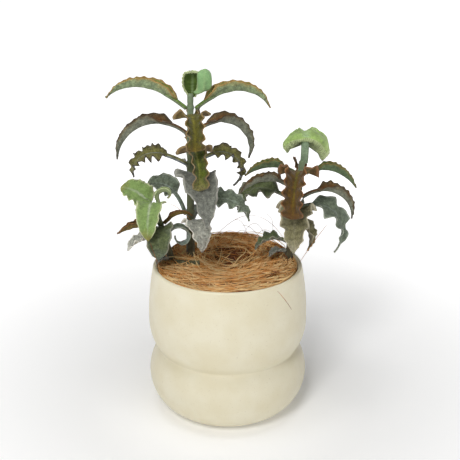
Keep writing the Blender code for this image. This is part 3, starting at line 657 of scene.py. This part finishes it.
def leaf_sheet(leaf, along, columns, plain, seed=0):
    """The middle surface of a leaf, (rows, columns, 3), from its start at the origin.

    The midrib is the running sum of short steps along the leaf's forward way. Each row stands
    across it, turned by roll, with its ears swept back and bumps added along its up way.
    """
    draws = np.random.default_rng(seed)
    total = leaf.petiole + leaf.blade
    blade = (along * total - leaf.petiole) / leaf.blade
    across = np.linspace(0, 1, columns)
    left = half_blade(leaf, blade, across, -1, plain, draws)
    right = half_blade(leaf, blade, across, 1, plain, draws)
    lateral = np.concatenate((left[0][:, :0:-1], right[0]), 1)
    lift = np.concatenate((left[1][:, :0:-1], right[1]), 1)
    edge = np.abs(np.linspace(-1, 1, 2 * columns - 1))
    roll = (np.radians(leaf.roll) * np.clip(along / ROLL_LENGTH, 0, 1))[:, None]
    flat = lateral * np.cos(roll) - lift * np.sin(roll)
    raised = lateral * np.sin(roll) + lift * np.cos(roll)
    shape = np.exp(-((blade / EAR_LENGTH) ** 2)) * (blade > 0)
    back = leaf.ears if plain else leaf.back
    ears = back * leaf.half_width * edge**2 * shape[:, None]
    stops = np.linspace(0, 1, MIDRIB_STEPS + 1)
    steps = leaf_frame(leaf, (stops[1:] + stops[:-1]) / 2)[0] * total / MIDRIB_STEPS
    points = np.vstack((np.zeros(3), np.cumsum(steps, 0)))
    midrib = np.stack([np.interp(along, stops, points[:, axis]) for axis in range(3)], -1)
    forward, side, up = leaf_frame(leaf, along)
    sheet = midrib[:, None] + side[:, None] * flat[..., None] + up[:, None] * raised[..., None]
    sheet -= forward[:, None] * ears[..., None]
    if not plain:
        bumps = waver(blade * 2, draws)[:, None] * waver(np.linspace(0, 1, edge.size) * 1.3, draws)
        sheet += up[:, None] * (leaf.lumps * bumps * np.clip(blade / 0.1, 0, 1)[:, None])[..., None]
    return sheet, blade, edge


def make_leaf(leaf, material, slot, seed):
    """A leaf as one closed skin: the middle surface offset to both sides by its thickness.

    The blade is thin and even with a round edge, and its underside thickens to a keel along the
    midrib, which the petiole carries on as a nearly round stalk.
    """
    total = leaf.petiole + leaf.blade
    start = leaf.petiole / total
    along = np.concatenate((
        np.linspace(0, start, PETIOLE_ROWS, endpoint=False), np.linspace(start, 1, BLADE_ROWS),
    ))
    sheet, blade, edge = leaf_sheet(leaf, along, COLUMNS, False, seed)
    add_felt_leaf(leaf.node, sheet + leaf_start(leaf), blade, edge, material, slot)


def leaf_start(leaf):
    """Where a leaf starts, from its solid's box and the box of its plain form."""
    plain = leaf_sheet(leaf, np.linspace(0, 1, 10), 3, True)[0].reshape(-1, 3)
    low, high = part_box(leaf.node)
    moved = np.array((leaf.shift, 0, 0))
    return box_centre(low, high) - box_centre(plain.min(0), plain.max(0)) + moved


def skin(sheet, blade, edge):
    """The closed rings round a middle surface: its top side, then its underside back again."""
    normal = unit(np.cross(np.gradient(sheet, axis=0), np.gradient(sheet, axis=1)))
    middle = edge.size // 2
    width = np.linalg.norm(sheet - sheet[:, middle:middle + 1], axis=-1)
    rounding = np.sqrt(np.clip(1 - edge**6, 0, 1))
    keel = np.exp(-((width / KEEL_HALF_WIDTH) ** 2)) * (1 - 0.75 * np.clip(blade, 0, 1))[:, None]
    stalk = smoothstep(0.08, -0.05, blade)[:, None]
    crown = STALK_CROWN * np.sqrt(np.clip(1 - edge**2, 0, 1))
    above = BLADE_HALF_THICKNESS * rounding + stalk * crown
    below = above + KEEL_HALF_THICKNESS * keel * rounding
    top = sheet + normal * above[..., None]
    bottom = sheet - normal * below[..., None]
    return np.concatenate((top, bottom[:, -2:0:-1]), 1)


def add_felt_leaf(node, sheet, blade, edge, material, slot, finish=None):
    """Close a leaf's middle surface to a skin and mark where its finish changes."""
    edge = np.abs(edge)
    rings = skin(sheet, blade, edge)
    rib = edge + 0 * blade[:, None] if finish is None else finish
    rib = np.concatenate((rib, rib[:, -2:0:-1]), 1)
    upper = np.concatenate((np.ones_like(edge), np.zeros(edge.size - 2)))
    upper[0] = upper[edge.size - 1] = 0.5
    shape = rings.shape[:2]
    attributes = {
        "across": rib,
        "upper": np.broadcast_to(upper, shape),
        "along": np.broadcast_to(blade[:, None], shape),
    }
    add_piece("felt_" + node, loft("felt_" + node, rings, attributes), material, slot, node)


def smooth_rows(table, count):
    """A Catmull-Rom curve through the rows of a table, in even steps."""
    table = np.array(table, float)
    last = len(table) - 1
    padded = np.concatenate((2 * table[:1] - table[1:2], table, 2 * table[-1:] - table[-2:-1]))
    place = np.linspace(0, last, count)
    first = np.minimum(place.astype(int), last - 1)
    u = (place - first)[:, None]
    a, b, c, d = (padded[first + step] for step in range(4))
    curve = 2 * b + (c - a) * u + (2 * a - 5 * b + 4 * c - d) * u**2
    return 0.5 * (curve + (3 * b - a - 3 * c + d) * u**3)


def arched_sheet(table, rows, columns, start):
    """A leaf whose cross-sections are arches, from its own short table in millimetres.

    Each row of the table has the middle of one arch, then how far its left half reaches in X and
    falls in Y and Z, then the same for its right half. Each half is a quarter of an ellipse: it
    leaves the middle sideways and ends going the way it falls.
    """
    values = smooth_rows(table, rows)[:, None] / 1000
    u = np.linspace(1, -1, 2 * columns - 1)
    turn = np.abs(u)[:, None] * np.pi / 2
    halves = np.where(u[:, None] < 0, values[..., 3:6], values[..., 6:9])
    reach = np.sin(turn) * halves * np.array((1, 0, 0))
    fall = (1 - np.cos(turn)) * halves * np.array((0, 1, 1))
    return start + values[..., :3] + reach + fall, u


def push_out(sheet, amount):
    """Move a sheet's points along its own normals."""
    normal = unit(np.cross(np.gradient(sheet, axis=0), np.gradient(sheet, axis=1)))
    return sheet + normal * amount[..., None]


# Arches of the hood and the buds, in millimetres; arched_sheet says what each number is.
HOOD_ARCHES = (
    # The curled-in lip, the rim, the crest and the back with its two standing lobes
    (0.0, -1.5, 7.0, -11.0, 2.0, -8.5, 11.0, 2.5, -12.5),
    (0.0, -5.0, 6.8, -13.5, 3.0, -10.5, 14.0, 3.5, -17.0),
    (0.3, -7.0, 9.8, -16.0, 4.0, -10.0, 17.0, 4.5, -15.5),
    (0.6, -3.5, 12.2, -17.0, 4.5, -10.0, 19.0, 5.5, -15.0),
    (0.7, 4.0, 12.6, -14.0, 4.0, -9.0, 18.5, 6.0, -12.0),
    (0.7, 10.0, 11.0, -11.0, 3.5, -8.0, 16.5, 4.5, -6.5),
    (0.7, 16.0, 9.6, -8.0, 1.0, -6.5, 13.0, 1.5, -2.0),
)
HOOD_RIBS = 15
BUD_BACK_ARCHES = (
    # A cup open to -Y
    (0.0, 0.0, 0.0, -1.8, -1.0, 0.0, 1.8, -1.0, 0.0),
    (0.0, 2.6, 4.5, -5.2, -4.4, 1.5, 4.8, -4.4, 1.5),
    (0.2, 3.4, 10.0, -6.1, -5.8, 1.5, 5.6, -5.8, 1.5),
    (0.4, 1.6, 15.5, -5.2, -4.6, 0.8, 4.8, -4.6, 0.8),
    (0.5, -2.0, 17.5, -3.2, -2.0, -0.6, 3.2, -2.0, -0.6),
)
BUD_FRONT_ARCHES = (
    # A smooth back turned to -Y
    (-5.6, 0.0, -2.0, -1.6, 1.0, 0.0, 1.6, 1.0, 0.0),
    (-1.0, -2.4, 0.8, -4.2, 2.8, 0.2, 4.4, 2.8, 0.0),
    (0.0, -3.4, 6.5, -5.0, 3.8, 0.2, 4.9, 3.8, 0.0),
    (0.2, -2.8, 12.0, -4.8, 3.6, 0.0, 4.6, 3.6, -0.3),
    (0.3, 0.2, 15.6, -2.6, 2.0, -1.2, 2.8, 2.0, -1.5),
)


def make_hood(material, slot):
    """The hooded leaf: a dome that runs back from a ribbed, rolled rim.

    Ribs, crimps, hills and a furrow are sines and bells of the row and the arch, pushed out square
    to the dome; the two back lobes are raised and the margin has small teeth.
    """
    base = leaf_start(HOOD)
    start = base + np.array((0.0, 0.0, 0.0090))
    sheet, u = arched_sheet(HOOD_ARCHES, 100, 40, start)
    share = np.linspace(0, 1, 100)[:, None]
    rim = smoothstep(0.45, 0.25, share)
    ribs = 0.0008 * np.sin(2 * np.pi * HOOD_RIBS * u) * rim * smoothstep(0.1, 0.3, np.abs(u))
    lobes = np.sin(np.pi * np.clip(np.abs(u) / 0.75, 0, 1)) ** 2
    lobes = 0.0024 * smoothstep(0.6, 1.0, share) * lobes
    crimp = 0.0011 * smoothstep(0.62, 0.98, share) * np.sin(2 * np.pi * 6.5 * u + 1)
    hills = 0.0009 * np.sin(2 * np.pi * (1.3 * share + 0.3)) * np.sin(2 * np.pi * 1.6 * u + 0.7)
    furrow = -0.0010 * np.exp(-((u / 0.10) ** 2)) * smoothstep(0.35, 0.5, share)
    sheet = push_out(sheet, ribs + crimp + hills + furrow)
    sheet[..., 2] += lobes
    tooth = 0.0007 * tooth_wave(13 * share) * np.sign(u) * smoothstep(0.93, 1.0, np.abs(u))
    sheet[..., 0] += tooth * smoothstep(0.25, 0.4, share)
    # The rim takes the margin's colours, with paler stripes on the rib crests and darker ones between:
    # painted light and shade of the ribs.
    rib_shading = 0.90 + 0.05 * np.sin(2 * np.pi * HOOD_RIBS * u)
    edge = np.maximum(np.abs(u), rib_shading * smoothstep(0.36, 0.31, share))
    add_felt_leaf("right_leaf_1_back", sheet, 0.05 + 0.9 * share[:, 0], u, material, slot, edge)
    make_hood_stalk(base, start, material, slot)


def make_hood_stalk(base, start, material, slot):
    """A grooved oval section carried up a path that bows towards -Y into the hood."""
    length = np.linspace(0, 1, 30)[:, None]
    around = np.linspace(0, 2 * np.pi, 32, endpoint=False)
    foot = base + np.array((0.0, -0.0005, -0.0030))
    path = foot + (start + np.array((0.0004, -0.0005, 0.0085)) - foot) * length
    path = path + np.array((0.0, -0.0025, 0.0)) * np.sin(np.pi * length)
    groove = 1 - 0.22 * np.exp(-(((around - 1.5 * np.pi) / 0.35) ** 2))
    section = np.stack((0.0031 * np.cos(around), 0.0024 * np.sin(around), 0 * around), -1)
    rings = path[:, None] + section * groove[:, None]
    ones = np.ones(rings.shape[:2])
    values = {"across": 0.4 * ones, "upper": 0 * ones, "along": -0.1 * ones}
    add_piece("felt_hood_stalk", loft("felt_hood_stalk", rings, values), material, slot)


def make_buds(material, slot):
    """The two youngest leaves: one cupped with a thick beaded rim, one smooth and turned away."""
    low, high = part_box("tall_bud_back")
    start = np.array(((low[0] + high[0]) / 2 + 0.0012, (low[1] + high[1]) / 2, low[2]))
    share = np.linspace(0, 1, 60)[:, None]
    sheet, u = arched_sheet(BUD_BACK_ARCHES, 60, 24, start)
    sheet = start + (sheet - start) * np.array((1.22, 1.0, 1.12))
    rim = smoothstep(0.6, 1.0, np.abs(u)) + smoothstep(0.75, 1.0, share)
    beads = 0.0007 * np.clip(rim, 0, 1) * np.sin(2 * np.pi * (8 * share + 3 * u))
    folds = waver(3 * share[:, 0], np.random.default_rng(4))[:, None]
    folds = 0.0006 * smoothstep(0.7, 0.2, np.abs(u)) * folds
    sheet = push_out(sheet, beads + folds)
    edge = np.maximum(np.abs(u), 0.99 * smoothstep(0.86, 0.93, share)) + 0 * share
    edge = np.where(edge > 0.70, 0.99, edge)
    add_felt_leaf("tall_bud_back", sheet, 0.05 + 0.85 * share[:, 0], u, material, slot, edge)
    low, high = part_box("tall_bud_front")
    start = np.array((high[0] - 0.0010, (low[1] + high[1]) / 2, high[2] - 0.0165))
    sheet, u = arched_sheet(BUD_FRONT_ARCHES, 60, 24, start)
    sheet = start + (sheet - start) * np.array((1.12, 1.0, 1.0))
    sheet = push_out(sheet, 0.0003 * np.sin(2 * np.pi * (1.2 * share + u)))
    add_felt_leaf("tall_bud_front", sheet[:, ::-1], 0.05 + 0.9 * share[:, 0], u, material, slot)


# Materials

def linear(code):
    """An sRGB hex value as linear red, green, blue and alpha."""
    value = np.array([int(code[i:i + 2], 16) for i in (1, 3, 5)]) / 255
    value = np.where(value <= 0.04045, value / 12.92, ((value + 0.055) / 1.055) ** 2.4)
    return (*value, 1.0)


def add_node(tree, kind, inputs, output=0, **settings):
    """Add a node with its settings and give one of its outputs.

    inputs maps a socket to a value or to another node's output; a tuple fills the first sockets.
    """
    made = tree.nodes.new(kind)
    for label, value in settings.items():
        setattr(made, label, value)
    if isinstance(inputs, tuple):
        inputs = dict(enumerate(inputs))
    for socket, value in inputs.items():
        if isinstance(value, bpy.types.NodeSocket):
            tree.links.new(value, made.inputs[socket])
        else:
            made.inputs[socket].default_value = value
    return made.outputs[output]


def new_material(name, **sockets):
    """A Principled material with its constant sockets set."""
    material = bpy.data.materials.new(name)
    material.use_nodes = True
    shader = material.node_tree.nodes["Principled BSDF"]
    for label, value in sockets.items():
        shader.inputs[label.replace("_", " ")].default_value = value
    return material, material.node_tree, shader


def patches(tree, size, detail=3.0, roughness=0.5):
    """Uneven patches about as wide as size, in millimetres, fixed to the piece."""
    where = add_node(tree, "ShaderNodeTexCoord", {}, "Object")
    values = {"Vector": where, "Scale": 1000 / size, "Detail": detail, "Roughness": roughness}
    return add_node(tree, "ShaderNodeTexNoise", values, "Fac")


def lay_colours(tree, colour, *layers):
    """Lay colours over a first one.

    A layer is a value, the span of it that counts, how much of the layer shows at each end of
    that span, and the layer's colour. Without the four numbers it shows as much as the value.
    """
    for value, *span, code in layers:
        if span:
            value = add_node(tree, "ShaderNodeMapRange", (value, *span))
        sockets = {0: value, 6: colour, 7: linear(code)}
        colour = add_node(tree, "ShaderNodeMix", sockets, 2, data_type="RGBA")
    return colour


def finish_surface(tree, shader, colour, relief, strength, depth):
    """Give the shader its colour, and a relief of a depth in millimetres."""
    tree.links.new(colour, shader.inputs["Base Color"])
    sockets = {"Strength": strength, "Distance": depth / 1000, "Height": relief}
    tree.links.new(add_node(tree, "ShaderNodeBump", sockets, "Normal"), shader.inputs["Normal"])


def glazed_stoneware():
    """Slip-cast stoneware under a satin cream glaze: even, with a soft gloss and faint speckle.

    The glaze pools in patches of about 22 mm. Iron specks of 1.1 mm are fine enough to show only
    close by, and the glaze's skin has a faint orange peel of 2.4 mm.
    """
    material, tree, shader = new_material("satin_cream_glaze", Roughness=0.42, IOR=1.5)
    colour = lay_colours(
        tree, linear("#E4DBBD"),
        (patches(tree, 22.2, 4), 0.35, 0.65, 0, 1, "#EAE3CA"),
        (patches(tree, 1.11, 2), 0.66, 0.74, 0, 0.35, "#B9A98A"),
    )
    finish_surface(tree, shader, colour, patches(tree, 2.38, 2), 0.06, 0.4)
    return material


def coir_fibre():
    """Retted coconut husk fibre, dry and slightly glossy: red-brown, golden and straw strands.

    Each fibre has its own tone, and patches of about 8 mm along it are darker or paler.
    """
    material, tree, shader = new_material("coconut_coir_fibre", Roughness=0.55)
    tone = add_node(tree, "ShaderNodeAttribute", {}, "Fac", attribute_name="tone")
    patch = add_node(tree, "ShaderNodeMapRange", (patches(tree, 7.7), 0.35, 0.65, -0.22, 0.18))
    tone = add_node(tree, "ShaderNodeMath", (tone, patch), operation="ADD")
    colour = lay_colours(
        tree, linear("#7E431A"), (tone, 0, 0.45, 0, 1, "#E8A052"), (tone, 0.45, 1, 0, 1, "#FFDFA2"),
    )
    tree.links.new(colour, shader.inputs["Base Color"])
    return material


def coir_ground():
    """Packed coir under the loose fibre: dark red-brown, partly painted shade, dusty, with 1 mm
    crumbs.
    """
    material, tree, shader = new_material("packed_coir", Roughness=0.9)
    colour = lay_colours(
        tree, linear("#55301A"), (patches(tree, 3.85, 4), 0.4, 0.65, 0, 1, "#96602F"),
    )
    finish_surface(tree, shader, colour, patches(tree, 1.11, 4), 0.8, 0.8)
    return material


def potting_soil():
    """Peat and bark potting mix: dark, damp crumbs of 2 mm with pale grains of grit."""
    material, tree, shader = new_material("peat_potting_mix", Roughness=0.95)
    colour = lay_colours(
        tree, linear("#1E130C"),
        (patches(tree, 2.0, 5), 0.35, 0.7, 0, 1, "#4A3423"),
        (patches(tree, 1.43, 1), 0.7, 0.74, 0, 1, "#CFC8B8"),
    )
    finish_surface(tree, shader, colour, patches(tree, 2.22, 5), 1.0, 1.0)
    return material


def felted_stem():
    """Living stem under short felt: brown and corky at the foot, pale green at the tip.

    The felt's relief is drawn at 0.7 mm, coarser than the real hairs of about 0.2 mm, to show.
    """
    material, tree, shader = new_material("felted_green_stem", Roughness=0.85, Sheen_Weight=0.25)
    grown = add_node(tree, "ShaderNodeAttribute", {}, "Fac", attribute_name="grown")
    colour = lay_colours(
        tree, linear("#463C28"),
        (grown, 0.05, 0.55, 0, 1, "#667050"),
        (grown, 0.6, 0.95, 0, 1, "#7C9070"),
        (patches(tree, 2.86, 4), 0.35, 0.7, 0, 0.45, "#6B6A4C"),
    )
    finish_surface(tree, shader, colour, patches(tree, 0.714, 3), 0.4, 0.3)
    return material


def bare_bark():
    """Old corky stem that has lost its felt: grey-green skin, cracked and stained brown."""
    material, tree, shader = new_material("corky_old_bark", Roughness=0.9)
    colour = lay_colours(
        tree, linear("#4B4A2E"),
        (patches(tree, 4.55, 5), 0.35, 0.65, 0, 1, "#77775A"),
        (patches(tree, 1.67), 0.55, 0.7, 0, 1, "#3A2416"),
    )
    finish_surface(tree, shader, colour, patches(tree, 1.43, 5), 0.7, 0.6)
    return material


# Each felt is the tint of its skin seen through short hairs: the upper side, the underside, the
# midrib, the band along the margin and its very edge, and the tip. patchy says how unevenly the
# hair grows.
Felt = namedtuple("Felt", "slot upper under rib band edge tip patchy", defaults=(1.0,))
FELTS = {
    "bud": Felt("green_leaf", "#4A6218", "#86AE74", "#9DB57E", "#9FB076", "#CBD3A0", "#93B880", 0.3),
    "young": Felt("green_leaf", "#638229", "#84936D", "#84936D", "#96905B", "#AA8142", "#79795D"),
    # Next row: a darker copy of the young felt, painted shade, for the right shoot's second pair.
    "shaded_young": Felt("green_leaf", "#48661C", "#607450", "#607450", "#6F7242", "#7E6530", "#595E44", 0.8),
    "fresh": Felt("green_leaf", "#839D59", "#98A37A", "#C6CABB", "#8FA464", "#D6DAB0", "#8F833F", 0.5),
    "hood": Felt("green_leaf", "#9CB868", "#8CA283", "#BCD6B4", "#B4C884", "#DDE6B6", "#B2C88C", 0.55),
    "olive": Felt("brown_leaf", "#5D5904", "#73632A", "#8A8232", "#543807", "#A88E60", "#69510C"),
    "moss": Felt("green_leaf", "#5A6512", "#887252", "#9A9554", "#544219", "#A88E60", "#968C57"),
    "taupe": Felt("grey_leaf", "#6C481F", "#7A7D6C", "#818773", "#6D5F3E", "#3E2C18", "#5E6052"),
    "withered": Felt("brown_leaf", "#77743F", "#8B939C", "#8F9BA0", "#6E653F", "#3A2D24", "#6E6E64"),
    "rust": Felt("brown_leaf", "#5F4402", "#6E5B24", "#72721B", "#4E2D06", "#94683C", "#643E05"),
    "grey": Felt("grey_leaf", "#797B71", "#87897D", "#8F9186", "#7C7E74", "#B4B2A7", "#82827A"),
    "pale": Felt("grey_leaf", "#AFAFA3", "#C3C1B2", "#CDCCBF", "#B3B3A6", "#FFF9ED", "#BBB9AE"),
    "slate": Felt("grey_leaf", "#6F7A66", "#818D83", "#A2AFA3", "#768071", "#B5BCAA", "#73765E"),
    "dusk": Felt("grey_leaf", "#7E7956", "#8B8974", "#989378", "#868167", "#CBC3A6", "#ADA78C"),
    "deep": Felt("green_leaf", "#59633D", "#828273", "#70755D", "#5E664E", "#A19E8C", "#6B7569"),
}


def felted_leaf(name, felt):
    """Living leaf under a felt of short pale hairs, which dulls its colour and lights its outline.

    Patches of thicker and thinner hair, 3 mm wide, and small pale tufts break up each side. The
    tufts are drawn at 0.9 mm, coarser than the real hairs of about 0.2 mm, to show.
    """
    material, tree, shader = new_material(
        name + "_leaf_felt", Roughness=0.88, Sheen_Weight=0.15, Sheen_Roughness=0.5)
    across, along, upper = (
        add_node(tree, "ShaderNodeAttribute", {}, "Fac", attribute_name=label)
        for label in ("across", "along", "upper")
    )

    def span(value, *numbers):
        return add_node(tree, "ShaderNodeMapRange", (value, *numbers))

    def join(operation, first, second):
        return add_node(tree, "ShaderNodeMath", (first, second), operation=operation)

    uneven = patches(tree, 5.88, 4)
    blade = span(along, 0.0, 0.04)
    margin = join("ADD", across, span(uneven, 0.3, 0.7, -0.22, 0.16))
    tip = join("ADD", along, span(uneven, 0.3, 0.7, -0.08, 0.08))
    colour = lay_colours(
        tree, linear(felt.under),
        (upper, felt.upper),
        (join("MULTIPLY", span(margin, 0.55, 0.92, 0, 0.8), blade), felt.band),
        (tip, 0.74, 1.0, 0, 0.85, felt.tip),
        (join("MULTIPLY", span(across, 0.16, 0.03), span(along, 0.9, 0.1, 0.1, 0.6)), felt.rib),
    )
    mottle = span(patches(tree, 3.03, 6, 0.68), 0.30, 0.70, 0.42, 1.45)
    tufts = span(patches(tree, 0.909, 3, 0.6), 0.32, 0.68, 0.70, 1.28)
    shade = join("POWER", join("MULTIPLY", mottle, tufts), felt.patchy)
    grey = add_node(tree, "ShaderNodeCombineColor", (shade, shade, shade))
    colour = add_node(
        tree, "ShaderNodeMix", {0: 1.0, 6: colour, 7: grey}, 2, data_type="RGBA",
        blend_type="MULTIPLY")
    edge = join("MULTIPLY", span(across, 0.86, 0.95, 0, 0.8), blade)
    colour = lay_colours(tree, colour, (edge, felt.edge))
    relief = join("ADD", patches(tree, 2.63, 4, 0.6), patches(tree, 0.769))
    finish_surface(tree, shader, colour, relief, 0.7, 0.7)
    return material


# Stage

Lamp = namedtuple("Lamp", "name place size power")
LAMPS = (
    Lamp("key", (-0.33, -1.04, 1.20), 0.45, 11.5),
    Lamp("fill", (0.80, -1.20, 0.75), 1.2, 2.2),
    Lamp("top", (-0.1, -0.1, 1.5), 0.6, 6.5),
)
LAMPS_AIM = (0.0, 0.0, 0.12)
FLOOR_REACH = 25.0
CAMERA_PLACE = (0.0019, -0.5855, 0.3622)
CAMERA_TILT = 19.88
CAMERA_LENS = 61.6


def aim_along(way):
    """The turn that points a lamp's -Z along a way."""
    return Vector(way).to_track_quat("-Z", "Y").to_euler()


def pale_paper():
    """Matt pale paper with painted light: it emits more away from the pot, so that it fades to white.
    """
    material, tree, shader = new_material(
        "pale_paper_floor", Roughness=0.9, Emission_Color=(1, 1, 1, 1))
    place = add_node(tree, "ShaderNodeTexCoord", {}, "Object")
    away = add_node(tree, "ShaderNodeVectorMath", (place,), "Value", operation="LENGTH")
    # Painted light: emission that rises away from the pot stands in for lamp light on the far paper.
    painted_glow = add_node(tree, "ShaderNodeMapRange", (away, 0.12, 0.6, 0.16, 1.0))
    depth = add_node(tree, "ShaderNodeSeparateXYZ", (place,), "Y")
    behind = add_node(tree, "ShaderNodeMapRange", (depth, -0.45, -0.10, 0.55))
    painted_glow = add_node(tree, "ShaderNodeMath", (painted_glow, behind), operation="MULTIPLY")
    colour = lay_colours(tree, linear("#B4B4B2"), (behind, "#F4F4F4"))
    tree.links.new(colour, shader.inputs["Base Color"])
    tree.links.new(painted_glow, shader.inputs["Emission Strength"])
    return material


def make_stage():
    """A pale floor, soft light from the upper left and a world that is brightest at the horizon."""
    collection = bpy.context.scene.collection
    corners = FLOOR_REACH * np.array(((-1, -1, 0), (1, -1, 0), (1, 1, 0), (-1, 1, 0)))
    floor = bpy.data.objects.new("floor", build_mesh("floor", corners, np.array(((0, 1, 2, 3),))))
    collection.objects.link(floor)
    floor.data.materials.append(pale_paper())
    for lamp in LAMPS:
        light = bpy.data.lights.new(lamp.name, "AREA")
        light.size = lamp.size
        light.energy = lamp.power
        holder = bpy.data.objects.new(lamp.name, light)
        holder.location = lamp.place
        holder.rotation_euler = aim_along(np.array(LAMPS_AIM) - np.array(lamp.place))
        collection.objects.link(holder)
    world = bpy.data.worlds.new("studio")
    world.use_nodes = True
    tree = world.node_tree
    background = tree.nodes["Background"]
    background.inputs["Color"].default_value = (1, 1, 1, 1)
    way = add_node(tree, "ShaderNodeTexCoord", {}, "Generated")
    height = add_node(tree, "ShaderNodeSeparateXYZ", (way,), "Z")
    light = add_node(tree, "ShaderNodeMapRange", (height, 0.06, 0.22, 0.85, 0.05))
    tree.links.new(light, background.inputs["Strength"])
    bpy.context.scene.world = world
    bpy.context.scene.view_settings.view_transform = "Standard"


def make_camera():
    """The camera stands in front of the pot and looks a little down on it."""
    data = bpy.data.cameras.new("camera")
    data.lens = CAMERA_LENS
    data.sensor_width = 36.0
    camera = bpy.data.objects.new("camera", data)
    camera.location = CAMERA_PLACE
    camera.rotation_euler = (radians(90 - CAMERA_TILT), 0, 0)
    bpy.context.scene.collection.objects.link(camera)
    bpy.context.scene.camera = camera


make_camera()
make_stage()
make_pot(glazed_stoneware())
# The potting mix keeps its solid, which the coir covers, and only gets its finish.
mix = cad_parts["potting_mix"].data
mix.materials.clear()
mix.materials.append(potting_soil())
make_coir_mat(coir_ground())
coir = coir_fibre()
make_coir_nest(coir)
make_stray_fibres(coir)
stem_felt = felted_stem()
for stem in STEMS:
    make_stem(stem, stem_felt)
make_old_stem(bare_bark())
felts = {name: felted_leaf(name, felt) for name, felt in FELTS.items()}
for number, leaf in enumerate(LEAVES):
    make_leaf(leaf, felts[leaf.felt], FELTS[leaf.felt].slot, FIRST_SEED + number)
make_hood(felts["hood"], FELTS["hood"].slot)
make_buds(felts["bud"], FELTS["bud"].slot)
